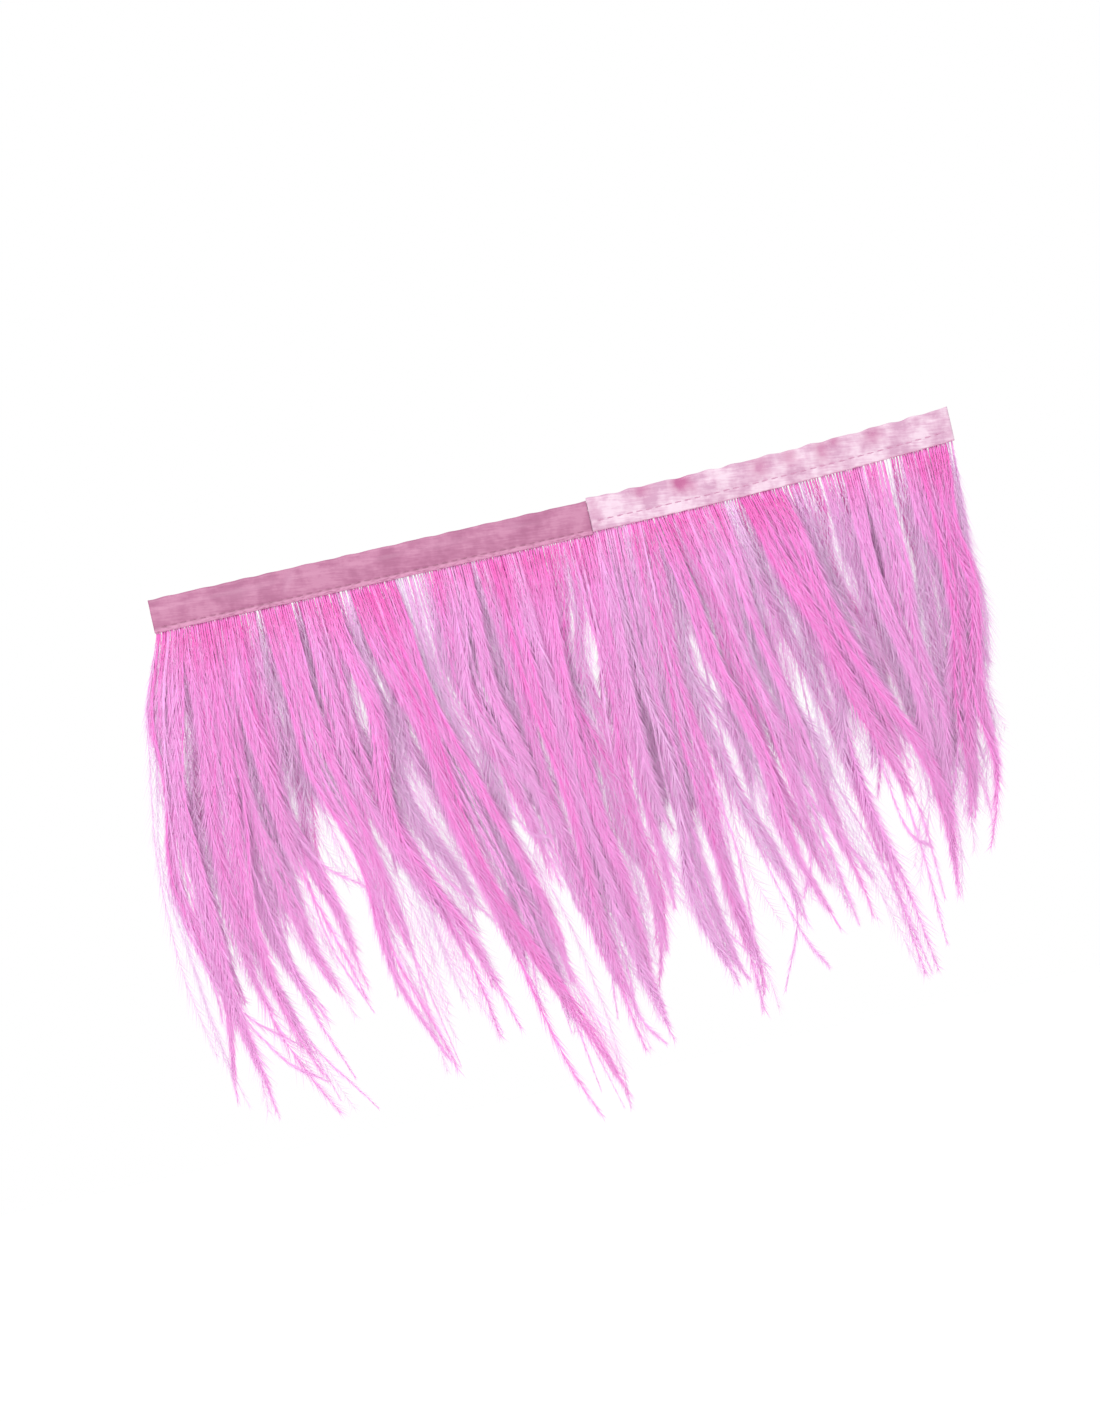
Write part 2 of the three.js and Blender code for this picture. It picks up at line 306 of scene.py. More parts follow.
def grained(name, dark, light, size, roughness, bump_height):
    """Thread or quill: two close shades and a bump along a stretched grain."""
    material, tree, shader = new_material(name)
    coordinates = add(tree, "ShaderNodeTexCoord").outputs["Object"]
    grain = sized_noise(tree, coordinates, size, 3.0)
    tree.links.new(ramp(tree, grain, [(0.3, dark), (0.7, light)]), shader.inputs["Base Color"])
    bump = add(tree, "ShaderNodeBump", {"Height": grain, "Strength": 0.5, "Distance": bump_height})
    tree.links.new(bump.outputs["Normal"], shader.inputs["Normal"])
    vary_roughness(tree, shader, grain, roughness - 0.1, roughness + 0.1, limits=(0.0, 1.0))
    return material


# ---------- the ribbon's lower edge ----------
def edge_profile(name):
    """Stations along a tape and the height of its lower edge there, from its CAD node."""
    points = node_points(name)
    face = points[np.abs(points[:, 1]) < 0.01]
    stations = np.unique(face[:, 0].round(2))
    return stations, np.array([face[np.abs(face[:, 0] - x) < 0.02, 2].min() for x in stations])


edges = {side: edge_profile(f"ribbon_{side}") for side in ("left", "right")}
RIBBON_START = edges["left"][0][0]
SPLICE = edges["right"][0][0]
RIBBON_END = edges["right"][0][-1]


def edge_height(x):
    """Height of the ribbon's lower edge, straight between the CAD's stations."""
    x = np.asarray(x, float)
    (left_x, left_z), (right_x, right_z) = edges["left"], edges["right"]
    return np.where(x < right_x[0], np.interp(x, left_x, left_z), np.interp(x, right_x, right_z))


# ---------- tapes ----------
def arc(centre, radii, start, end, count):
    """Points on an ellipse's arc, from one angle in degrees to another."""
    angles = np.radians(np.linspace(start, end, count))
    return np.stack([centre[0] + radii[0] * np.cos(angles), centre[1] + radii[1] * np.sin(angles)], 1)


def fold_path():
    """The folded tape's middle line: depth from the middle plane and height, from hem to hem."""
    face, hem = OUTER - CLOTH / 2, MOUTH + CLOTH / 2
    lip = (face - hem) / 2
    base = lip + CLOTH / 2
    top = TAPE_HEIGHT - CLOTH / 2 - face
    inside = [[hem, h] for h in np.linspace(HEM_HEIGHT, base + 0.2, 9)]
    turn = arc((hem + lip, base), (lip, lip), 180, 360, 9)
    up = [[face, h] for h in np.linspace(base + 0.3, top - 0.2, 26)]
    over = arc((0, top), (face, face), 0, 90, 8)
    half = np.array([*inside, *turn, *up, *over])
    return np.concatenate([half, (half * [-1, 1])[-2::-1]])


def outward(path):
    """Unit normals along a path, on its outer side."""
    run = np.gradient(path, axis=0)
    return unit(np.stack([run[:, 1], -run[:, 0]], 1))


def dents(x, h, spots):
    """How far all the soft dents and swellings together stand out at a place."""
    return sum(depth * np.exp(-((x - cx) / wx) ** 2 - ((h - ch) / wh) ** 2)
               for cx, ch, wx, wh, depth in spots)


def tape_relief(side, x, h, front):
    """How far the satin stands out of its flat face: stitches pull it in, and dents shape it."""
    look = TAPE_LOOKS[side]
    seam = look["stitch_height"]
    pull = -0.12 * np.exp(-((h - seam) / 0.4) ** 2)
    lip = 0.05 * np.exp(-((h - seam * 0.5) / (seam * 0.35)) ** 2)
    gathers = np.sin(2 * math.pi * x / STITCH_PITCH) * np.exp(-((h - seam) / 1.6) ** 2)
    slow = np.sin(x * 0.31 + 1.3 * np.sin(x * 0.083)) * smooth(h, 3, 10)
    relief = pull + lip + look["pucker"] * gathers + look["billow"] * slow
    return relief + (dents(x, h, look["dents"]) if front else 0.5 * dents(x + 2.3, h, look["dents"]))


def tape_points(side, stations, path):
    """The tape's outer and inner surface, each a grid of (station, path, xyz)."""
    look = TAPE_LOOKS[side]
    normals = outward(path)
    x = stations[:, None]
    depth, height = path[:, 0][None, :], path[:, 1][None, :]
    front = tape_relief(side, x, height, True)
    back = tape_relief(side, x, height, False)
    facing = np.clip(-depth / 0.3, -1, 1) / 2 + 0.5
    push = (front * facing + back * (1 - facing)) * np.clip(np.abs(depth) / 0.4, 0, 1)
    sway = look["sway"] * np.sin(x * 0.19 + 0.8) * smooth(height, 3.5, 11)
    rise = smooth(height, 6.5, 10.7) * look["wave"] * top_wave(x)
    flat = 1 - pressed(x, height)
    layers = []
    for offset in (CLOTH / 2, -CLOTH / 2):
        d = (depth + np.sign(depth) * push) * flat + offset * normals[:, 0] + sway
        h = height + offset * normals[:, 1] + rise
        z = edge_height(x) + h
        layers.append(np.stack([np.broadcast_to(x, d.shape), MIDDLE_Y + d, z], 2))
    return layers


def pressed(x, height):
    """How far the two plies lie together above the quills: most at the cut ends, none at the splice."""
    at_end = 1 - smooth(np.minimum(x - RIBBON_START, RIBBON_END - x), 0.0, 4.0)
    from_splice = smooth(np.abs(x - SPLICE), 5.0, 12.0)
    return (0.4 * from_splice + 0.4 * at_end) * smooth(height, 6.6, 8.2)


def top_wave(x):
    """The slow rise and fall of the ribbon's folded top edge, from about -1 to 1."""
    return 0.6 * np.sin(x * 0.55 + np.sin(x * 0.21)) + 0.4 * np.sin(x * 0.97 + 2.0)


def tape_marks(side, stations, path):
    """How strongly each point of the tape's ring takes the painted shading of its dents, and the colour
    of the lower lip band.
    """
    look = TAPE_LOOKS[side]
    x = stations[:, None]
    depth, height = path[:, 0][None, :], path[:, 1][None, :]
    # painted shading in the dents of the front face
    painted_dent_shading = np.clip(-look["dent_shading_strength"] * dents(x, height, look["dents"]), 0, 1) * (depth < 0)
    # the lower lip band: a painted highlight on the left tape, a darker line on the right
    edge = look["lip_height"]
    lip = (1 - smooth(height, edge - 0.15, edge + 0.1)) * look["lip_strength"]
    lip = np.broadcast_to(lip, painted_dent_shading.shape)
    return [np.concatenate([mark, mark[:, ::-1]], 1).ravel() for mark in (painted_dent_shading, lip)]


def shell(layers):
    """Points, quads and map of a sheet with two faces, closed round its rim."""
    outer, inner = layers
    rows, columns = outer.shape[:2]
    ring = np.concatenate([outer, inner[:, ::-1]], 1)
    width = 2 * columns
    index = np.arange(rows * width).reshape(rows, width)
    here, right = index[:-1], np.roll(index, -1, 1)[:-1]
    below, diagonal = index[1:], np.roll(index, -1, 1)[1:]
    walls = np.stack([here, right, diagonal, below], 2).reshape(-1, 4)
    caps = []
    for row, turn in ((0, 1), (rows - 1, -1)):
        a, b = index[row, :columns], index[row, columns:][::-1]
        cap = np.stack([a[:-1], b[:-1], b[1:], a[1:]], 1)
        caps.append(cap[:, ::turn])
    faces = np.concatenate([walls, *caps])
    share_x = np.linspace(0.01, 0.99, rows)
    share_y = np.linspace(0.01, 0.99, width)
    place = np.stack(np.meshgrid(share_x, share_y, indexing="ij"), 2).reshape(-1, 2)
    return ring.reshape(-1, 3), faces, place[faces.ravel()]


def joined(*parts):
    """Several meshes as one. Each is (points, faces), or all are (points, faces, uv)."""
    starts = np.cumsum([0] + [len(part[0]) for part in parts])
    points = np.concatenate([part[0] for part in parts])
    faces = np.concatenate([part[1] + start for part, start in zip(parts, starts)])
    maps = [part[2] for part in parts if len(part) > 2]
    return (points, faces, np.concatenate(maps)) if maps else (points, faces)


def tucked_end():
    """The left tape's pressed end, a slim fold that slides into the right tape's pocket."""
    rises = np.linspace(TUCK_BOTTOM + 0.2, TUCK_TOP - TUCK_HALF - CLOTH / 2, 5)
    side = np.array([[TUCK_HALF, h] for h in rises])
    over = arc((0, rises[-1]), (TUCK_HALF, TUCK_HALF), 0, 90, 5)[1:]
    half = np.concatenate([side, over])
    path = np.concatenate([half, (half * [-1, 1])[-2::-1]])
    normals = outward(path)
    stations = np.linspace(SPLICE - TUCK_ANCHOR, SPLICE + TUCK_LENGTH - 0.1, 12)[:, None]
    layers = []
    for offset in (TUCK_CLOTH, -TUCK_CLOTH):
        d = path[:, 0] + offset * normals[:, 0]
        h = path[:, 1] + offset * normals[:, 1]
        x, d, h = np.broadcast_arrays(stations, d, h)
        layers.append(np.stack([x, MIDDLE_Y + d, h], 2))
    return shell(layers)


# How each tape is puckered, and its dents and swellings as (x, height, half width, half height, how
# far it stands out, which is below 0 for a dent).
# Dents also take a painted shading, darker on the right tape and lighter along the left tape's crease, as
# strongly as each tape's dent tint strength says.
TAPE_LOOKS = {
    "left": {
        "lip_height": 1.1, "lip_strength": 0.8, "stitch_height": 1.6, "pucker": 0.035, "billow": 0.05,
        "sway": 0.12, "wave": 0.14, "dent_shading_strength": 2.0,
        "dents": [(-86, 4.6, 1.0, 1.4, -0.13), (-85, 6.2, 1.0, 1.4, -0.16), (-83.8, 7.8, 1.0, 1.4, -0.16),
                  (-82.4, 9.4, 1.1, 1.4, -0.13), (-121, 8, 5, 3, 0.16), (-60, 3, 3, 2.5, 0.15),
                  (-100, 7, 6, 2, -0.1), (-36, 8, 7, 2, -0.1), (-12, 8.5, 3, 1.5, -0.14)],
    },
    "right": {
        "lip_height": 0.35, "lip_strength": 0.8, "stitch_height": 3.25, "pucker": 0.06, "billow": 0.09,
        "sway": 0.15, "wave": 0.3, "dent_shading_strength": 2.6,
        "dents": [(14, 6, 2.0, 5.0, -0.1), (29.5, 9.6, 3.0, 2.6, -0.26), (42.0, 9.2, 2.8, 3.0, -0.5),
                  (45.5, 6.5, 1.6, 2.2, -0.16), (53, 7.2, 3.5, 1.6, 0.2), (67, 8.4, 3.2, 4.5, -0.2),
                  (77, 8.8, 2.6, 3.0, -0.24), (87, 8.2, 2.2, 4.5, -0.26), (91.5, 9.8, 1.8, 1.8, -0.24),
                  (104, 8.6, 3.2, 3.0, -0.2), (117, 7.4, 3.2, 1.6, 0.18), (20, 6.5, 3, 2, 0.14)],
    },
}


def build_tape(side, material):
    name = f"ribbon_{side}"
    start, end = edges[side][0][[0, -1]]
    if side == "left":
        end = SPLICE - SPLICE_GAP
    path = fold_path()
    stations = np.linspace(start, end, int((end - start) / STATION_STEP))
    parts = [shell(tape_points(side, stations, path))]
    length = end - start
    if side == "left":
        parts.append(tucked_end())
        length += TUCK_LENGTH
    piece = mesh_object(f"satin_{side}", *joined(*parts))
    piece.data.materials.append(material)
    # the dents' painted shading and the lower lip band, as attributes that the satin reads
    for mark, values in zip(("painted_dent_shading", "lip"), tape_marks(side, stations, path)):
        shown = np.zeros(len(piece.data.vertices), np.float32)
        shown[:len(values)] = values
        piece.data.attributes.new(mark, "FLOAT", "POINT").data.foreach_set("value", shown)
    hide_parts(name)
    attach(piece, "ribbon")


# ---------- stitches ----------
def one_stitch(x, y, z, face, slope):
    """A plump stitch whose two ends dive into the cloth."""
    rings, sides = 11, 8
    t = np.linspace(-1, 1, rings)
    swell = np.clip(1 - np.abs(t) ** 5, 0.02, 1) ** 0.5 * THREAD_RADIUS
    dive = face * -STITCH_DIVE * t ** 4
    centre = np.stack([x + t * STITCH_LENGTH / 2, y + dive, z + t * slope], 1)
    angles = np.arange(sides) * 2 * math.pi / sides
    twist = 1 + 0.1 * np.cos(2 * angles[None, :] + 9 * t[:, None])
    ring = np.stack([np.zeros((rings, sides)), np.cos(angles) * swell[:, None] * twist,
                     np.sin(angles) * swell[:, None] * twist], 2)
    points = (centre[:, None, :] + ring).reshape(-1, 3)
    index = np.arange(rings * sides).reshape(rings, sides)
    beside = np.roll(index, -1, 1)
    walls = np.stack([index[:-1], index[1:], beside[1:], beside[:-1]], 2).reshape(-1, 4)
    caps = np.array([[0, 1, 2, 3], [0, 3, 4, 5], [0, 5, 6, 7]])
    last = (rings - 1) * sides
    return points, np.concatenate([walls, caps, caps[:, ::-1] + last])


def build_stitches(side, spool, face, material, random):
    name = f"{spool}_thread_{side}"
    low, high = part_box(name)
    start, end = low[0] / MM, high[0] / MM
    middles = np.arange(start + STITCH_LENGTH / 2, end - STITCH_LENGTH / 2, STITCH_PITCH)
    seam = TAPE_LOOKS[side]["stitch_height"]
    parts = []
    for x in middles:
        shift = random.uniform(-STITCH_SHIFT, STITCH_SHIFT)
        z = edge_height(x) + seam + random.uniform(-STITCH_RISE, STITCH_RISE)
        relief = tape_relief(side, np.array(x), np.array(seam), face < 0)
        y = MIDDLE_Y + face * (OUTER + float(relief) + THREAD_RADIUS * STITCH_STAND)
        slope = random.uniform(-STITCH_SLOPE, STITCH_SLOPE)
        parts.append(one_stitch(x + shift, y, z, face, slope))
    piece = mesh_object(f"stitches_{spool}_{side}", *joined(*parts))
    piece.data.materials.append(material)
    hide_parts(name)
    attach(piece, "ribbon")


# ---------- locks of barbs ----------
def lock_rings(name):
    """A CAD lock read level by level from its root: height, middle, half width and thickness."""
    points = node_points(name)
    levels = np.unique(points[:, 2].round(2))[::-1]
    rows = []
    for z in levels:
        ring = points[np.abs(points[:, 2] - z) < 0.02]
        low, high = ring[:, 0].min(), ring[:, 0].max()
        thick = np.abs(ring[:, 1] - MIDDLE_Y).max()
        rows.append((z, (low + high) / 2, (high - low) / 2, thick))
    return np.array(rows).T


def sines(share, strength, random, rates):
    """Slow random waves on each row of share. Rates are of (size, waves in a whole share)."""
    rows = len(share)
    total = np.zeros_like(share)
    for size, rate in rates:
        swing = random.normal(0, size, rows)[:, None]
        total += swing * np.sin(2 * math.pi * (rate * share + random.uniform(0, 1, rows)[:, None]))
    return total * strength


def barb_lengths(own, tufts, look, random):
    """Each barb's length as a share of the lock's. One barb always reaches its tip."""
    reach = random.uniform(look["shortest"], 1.0, tufts)
    reach[random.integers(tufts)] = 1.0
    lengths = reach[own] * random.uniform(0.78, 1.0, len(own))
    lengths[random.integers(len(own))] = 1.0
    return lengths


def tuft_drift(s, own, tufts, look, random):
    """How far each tuft wanders to the side and forks away from its lock, on each of its barbs."""
    line = np.linspace(0, 1, 41)
    rows = np.broadcast_to(line, (tufts, len(line)))
    drift = sines(rows, look["drift"], random, ((1.0, 1.0), (0.5, 2.1))) * smooth(line, 0.02, 0.35)
    drift += (random.uniform(-1, 1, tufts) * look["fork"])[:, None] * smooth(line, 0.45, 1.0)
    return np.stack([np.interp(places, line, drift[tuft]) for places, tuft in zip(s, own)])


def barb_paths(rings, face, look, random):
    """Middle lines of a lock's barbs, as (barb, point, xyz), with each one's length and shade.

    The barbs leave the ribbon evenly, gather into tufts, and the tufts follow the lock to its tip.
    Below, s is each point's depth as a share of the lock's, and rank is each barb's place between the
    middle plane (0) and the CAD lock's face (1).
    """
    heights, middles, halves, depths = rings
    drop = heights[0] - heights[-1]
    shares = (heights[0] - heights) / drop
    halves = halves + look["spill"] + (look["fray"] - look["spill"]) * smooth(shares, 0.5, 1.0)
    width = 2 * halves[0]
    tufts = max(2, round(width / look["tuft"]))
    count = max(2 * tufts, int(width / look["spacing"]))
    across = (np.arange(count) + 0.5) / count * 2 - 1 + random.uniform(-0.4, 0.4, count) / count
    own = np.clip(((across + 1) / 2 * tufts).astype(int), 0, tufts - 1)
    lengths = barb_lengths(own, tufts, look, random)
    s = lengths[:, None] * (np.linspace(0, 1, SEGMENTS) ** 1.15)[None, :]
    homes = ((np.arange(tufts) + 0.5) / tufts * 2 - 1) * 0.8 + random.normal(0, 0.12, tufts)
    gather = smooth(s, 0.05, random.uniform(0.3, 0.6, tufts)[own][:, None]) * look["gather"]
    gather += smooth(s, 0.5, 0.9) * look["part"]
    half = np.interp(s, shares, halves)
    lateral = (across[:, None] * (1 - gather) + homes[own][:, None] * gather) * half
    tuft_shift = tuft_drift(s, own, tufts, look, random)
    stray = sines(s, 1.0, random, ((1.0, 1.1), (0.4, 2.6))) * smooth(s, 0.02, 0.4)
    x = np.interp(s, shares, middles) + lateral + tuft_shift + stray
    pull_in = np.clip(x[:, :1], RIBBON_START + END_MARGIN, RIBBON_END - END_MARGIN) - x[:, :1]
    x += pull_in * (1 - smooth(s, 0.0, 0.2))
    inner, outer = look["layers"]
    rank = random.uniform(inner, outer, tufts)[own] + random.normal(0, 0.12, count)
    rank = np.clip(rank, 0.0, outer + 0.1)
    thick = np.interp(s, shares, depths)
    wander = sines(s, 1.0, random, ((0.25, 1.3),)) * smooth(s, 0.1, 0.6)
    y = MIDDLE_Y + face * (0.05 + (thick - 0.05) * rank[:, None] + wander)
    z = heights[0] - s * drop
    shade = look["shade"] + look["outer_shade"] * (rank - 0.45)
    shade = shade + random.normal(0, 0.1, count) + random.uniform(-0.18, 0.18, tufts)[own]
    return np.stack([x, y, z], 2), lengths * drop, np.clip(shade, 0.02, 0.98)


def through(points, count):
    """A smooth curve through points, as count evenly spread parameters of a Catmull-Rom spline."""
    points = np.asarray(points, float)
    ends = np.concatenate([[2 * points[0] - points[1]], points, [2 * points[-1] - points[-2]]])
    at = np.linspace(0, len(points) - 1, count)
    low = np.minimum(at.astype(int), len(points) - 2)
    t = (at - low)[:, None]
    a, b, c, d = (ends[low + k] for k in range(4))
    return 0.5 * (2 * b + (c - a) * t + (2 * a - 5 * b + 4 * c - d) * t ** 2
                  + (3 * b - a - 3 * c + d) * t ** 3)


def stray_paths(name, rings, face, random):
    """The lock's own strays: from its root, part of the way down its middle, then out on their own."""
    heights, middles, _, depths = rings
    drop = heights[0] - heights[-1]
    paths = []
    for route in STRAYS.get(name, ()):
        start = (middles[0] + random.uniform(-0.4, 0.4), heights[0])
        low = heights[0] + STRAY_TURN * (EDGE_LEVEL - route[0][1] - heights[0])
        via = (np.interp(-low, -heights, middles), low)
        line = through([start, via, *[(x, EDGE_LEVEL - v) for x, v in route]], SEGMENTS)
        s = np.clip((heights[0] - line[:, 1]) / drop, 0, 1)
        y = MIDDLE_Y + face * (0.05 + 0.5 * np.interp(s, (heights[0] - heights) / drop, depths))
        paths.append(np.stack([line[:, 0], y, line[:, 1]], 1))
    return np.array(paths).reshape(-1, SEGMENTS, 3)


def with_roots(paths, face, random):
    """Each barb carried up through the ribbon's mouth to its quill."""
    count = len(paths)
    top = paths[:, 0]
    edge = edge_height(top[:, 0])
    inside = random.uniform(0.1, 0.2, count)
    up = np.stack([top[:, 0], MIDDLE_Y + face * inside, edge + ROOT_RISE], 1)
    mouth = np.stack([top[:, 0], MIDDLE_Y + face * inside, edge + MOUTH_RISE], 1)
    below = paths.copy()
    below[:, 0, 1] = MIDDLE_Y + face * (inside + 0.05)
    return np.concatenate([up[:, None], mouth[:, None], below], 1)


def stems(paths, girth):
    """Closed flat tubes along the barbs: points, triangles and each point's place along its barb."""
    count, steps = paths.shape[:2]
    run = unit(np.gradient(paths, axis=1))
    side = unit(np.cross(run, BACKWARDS))
    out = np.cross(side, run)
    share = np.linspace(0, 1, steps)
    wide = girth * (0.22 + 0.78 * (1 - share) ** 1.3)
    wide[:2] = ROOT_HALF_WIDTH
    flat = np.minimum(wide * 0.45, 0.09)
    wide[-1] = flat[-1] = 0.01
    corners = [side * wide[None, :, None], out * flat[None, :, None],
               -side * wide[None, :, None], -out * flat[None, :, None]]
    points = np.stack([paths + corner for corner in corners], 2)
    index = np.arange(count * steps * 4).reshape(count, steps, 4)
    a, b = index[:, :-1], index[:, 1:]
    c, d = np.roll(b, -1, 2), np.roll(a, -1, 2)
    walls = [np.stack(corner, 3).reshape(-1, 3) for corner in ((a, b, c), (a, c, d))]
    first, last = index[:, 0], index[:, -1]
    caps = [first[:, [0, 1, 2]], first[:, [0, 2, 3]], last[:, [2, 1, 0]], last[:, [3, 2, 0]]]
    along = np.broadcast_to(share[None, :, None], index.shape).ravel()
    owner = np.broadcast_to(np.arange(count)[:, None, None], index.shape).ravel()
    return points.reshape(-1, 3), np.concatenate([*walls, *caps]), along, owner


def on_barbs(paths, owner, place):
    """Points on the barbs below the ribbon, each on its owner, and the barb's direction there."""
    last = paths.shape[1] - 2
    at = 2 + place * (last - 1)
    low = np.minimum(at.astype(int), last)
    part = (at - low)[:, None]
    here, there = paths[owner, low], paths[owner, low + 1]
    return here * (1 - part) + there * part, unit(there - here)


def needles(base, heading, away, size, width):
    """Closed needles of three sides: points and triangles, four of each to a needle."""
    tip = base + heading * size[:, None]
    across = unit(np.cross(heading, away))
    normal = np.cross(across, heading)
    ring = [base + across * width * math.cos(a) + normal * width * math.sin(a)
            for a in (math.pi / 2, math.pi * 7 / 6, math.pi * 11 / 6)]
    points = np.stack([*ring, tip], 1).reshape(-1, 3)
    index = np.arange(len(base) * 4).reshape(-1, 4)
    sides = ([0, 1, 3], [1, 2, 3], [2, 0, 3], [0, 2, 1])
    return points, np.concatenate([index[:, side] for side in sides])


def barbules(paths, lengths, look, random):
    """Thin closed needles on both sides of each barb, combed towards its tip."""
    counts = np.maximum((lengths / look["pitch"]).astype(int), 6)
    owner = np.repeat(np.arange(len(paths)), counts)
    total = len(owner)
    place = np.concatenate([((np.arange(n) + 0.5) / n) ** 0.8 for n in counts])
    place = np.clip(place + random.uniform(-0.4, 0.4, total) / counts[owner], 0.005, 0.995)
    base, run = on_barbs(paths, owner, place)
    side = unit(np.cross(run, BACKWARDS))
    out = np.cross(side, run)
    hand = np.where(np.arange(total) % 2 == 0, 1.0, -1.0)
    loose = random.uniform(*look["lean"], len(paths))[owner]
    loose = loose * (0.8 + 0.2 * smooth(place, 0.1, 0.5) + 0.4 * smooth(place, 0.6, 1.0))
    lean = np.radians(2 + loose * random.uniform(0, 1, total) ** 0.7)
    roll = np.radians(random.uniform(-65, 65, total))
    away = side * (hand * np.cos(roll))[:, None] + out * np.sin(roll)[:, None]
    heading = run * np.cos(lean)[:, None] + away * np.sin(lean)[:, None]
    size = look["barbule"] * (0.45 + 0.55 * smooth(place, 0.0, 0.2))
    size = size * (1 - 0.55 * smooth(place, 0.86, 1.0))
    size = size * random.uniform(0.65, 1.25, total) * random.uniform(0.75, 1.15, len(paths))[owner]
    points, faces = needles(base, heading, away, size, look["needle"])
    return points, faces, np.repeat(place, 4), np.repeat(owner, 4)


def shade_map(faces, along, shade):
    """One uv a corner: the place along the barb and its shade, spread so that no face is a sliver."""
    spread = np.array([[-0.003, -0.002], [0.003, -0.002], [0.0, 0.004]])
    corners = faces.ravel()
    uv = np.stack([along[corners] * 0.98 + 0.01, shade[corners]], 1)
    return np.clip(uv + np.tile(spread, (len(faces), 1)), 0.001, 0.999)


def barb_layer(paths, lengths, shade, look, random):
    """One layer of barbs as (points, triangles, uv), and which of its triangles are stems."""
    tubes = stems(paths, look["girth"])
    fluff = barbules(paths, lengths, look, random)
    points = np.concatenate([tubes[0], fluff[0]])
    faces = np.concatenate([tubes[1], fluff[1] + len(tubes[0])])
    along = np.concatenate([tubes[2], fluff[2]])
    owner = np.concatenate([tubes[3], fluff[3]])
    needle_tint = np.tile((1, 1, 1, look["tip_shade"]), len(fluff[0]) // 4)
    tint = np.concatenate([np.ones(len(tubes[0])), needle_tint])
    uv = shade_map(faces, along, shade[owner] * tint)
    return (points, faces, uv), np.arange(len(faces)) < len(tubes[1])


def lock_layers(name, rings, face, look, random):
    """A lock's layers: its barbs, the wisps between them and its strays."""
    layers = []
    for kind in (look, {**look, **VEIL_LOOK}):
        paths, lengths, shade = barb_paths(rings, face, kind, random)
        layers.append(barb_layer(with_roots(paths, face, random), lengths, shade, kind, random))
    strays = stray_paths(name, rings, face, random)
    if len(strays):
        lengths = np.full(len(strays), STRAY_BARBULE_LENGTH)
        shade = np.full(len(strays), STRAY_SHADE * look["shade"])
        rooted = with_roots(strays, face, random)
        layers.append(barb_layer(rooted, lengths, shade, {**look, **STRAY_LOOK}, random))
    return layers


def build_lock(name, look, material, random):
    """One lock. Its stems are shaded smooth, and its barbules flat."""
    _, feather, ply, _ = name.split("_")
    rings = lock_rings(name)
    layers = lock_layers(name, rings, -1 if ply == "front" else 1, look, random)
    points, faces, uv = joined(*(made for made, _ in layers))
    stem_faces = np.concatenate([stem for _, stem in layers])
    piece = mesh_object(name.replace("barbs", "lock"), points, faces, uv, stem_faces)
    piece.data.materials.append(material)
    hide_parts(name)
    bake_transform(piece)


# How the barbs of a front and a back lock lie. Lengths are in millimetres and lean is in degrees.
FRONT_LOOK = {
    "spacing": 0.66,  # from one barb to the next at the root
    "spill": 1.3,  # how far barbs stand out past the CAD lock's sides at the root
    "fray": 4.2,  # and at its tip
    "tuft": 4.2,  # root width that gathers into one tuft
    "shortest": 0.7,  # tuft, as a share of the lock
    "gather": 0.5,  # how far barbs close up on their tuft half way down
    "part": 0.28,  # and how much further at the tip
    "drift": 2.3,  # how far a tuft wanders
    "fork": 3.4,  # how far its tip leaves the lock
    "layers": (0.08, 0.85),  # depths of its tufts, from the middle plane to the CAD lock's face
    "shade": 0.68,  # how deeply the lock is dyed, from 0 to 1
    "outer_shade": 0.15,  # how much deeper the outer barbs are dyed
    "tip_shade": 0.4,  # the shade left at a barbule's tip
    "pitch": 0.3,  # from one barbule to the next
    "barbule": 8.5,  # a barbule's length
    "needle": 0.12,  # and its radius
    "lean": (10, 26),  # least and most turn of a barb's barbules out of its line
    "girth": 0.34,  # half a stem's width at its root
}
BACK_LOOK = {
    **FRONT_LOOK, "spacing": 0.88, "spill": 2.0, "shade": 0.5, "outer_shade": 0.75, "shortest": 0.66,
    "lean": (14, 30),
}

# What differs for the light grey-lilac wisps between the tufts, and for the looser strays. The wisps'
# grey-lilac is partly the real down between the barbs and partly painted shadow, standing in for the
# shade seen through the gaps near the ribbon.
VEIL_LOOK = {
    "spacing": 1.3, "spill": 2.4, "fray": 5.0, "shortest": 0.4, "gather": 0.0, "part": 0.0,
    "drift": 2.6, "layers": (0.0, 0.3), "shade": 0.24, "outer_shade": 0.0, "tip_shade": 0.2,
    "pitch": 0.5, "barbule": 8.5, "needle": 0.08, "lean": (20, 42), "girth": 0.13,
}
STRAY_LOOK = {"barbule": 4.5, "lean": (12, 26), "girth": 0.3}

# Locks that are hotter or paler than their ply.
SHADES = {
    "barbs_3_front_a": 0.88, "barbs_1_front_b": 0.78, "barbs_2_front_a": 0.76, "barbs_4_front_c": 0.8,
    "barbs_5_front_d": 0.74, "barbs_6_front_a": 0.78, "barbs_5_front_b": 0.52, "barbs_5_front_a": 0.64,
    "barbs_4_front_a": 0.6, "barbs_7_front_a": 0.72, "barbs_1_front_c": 0.64,
}

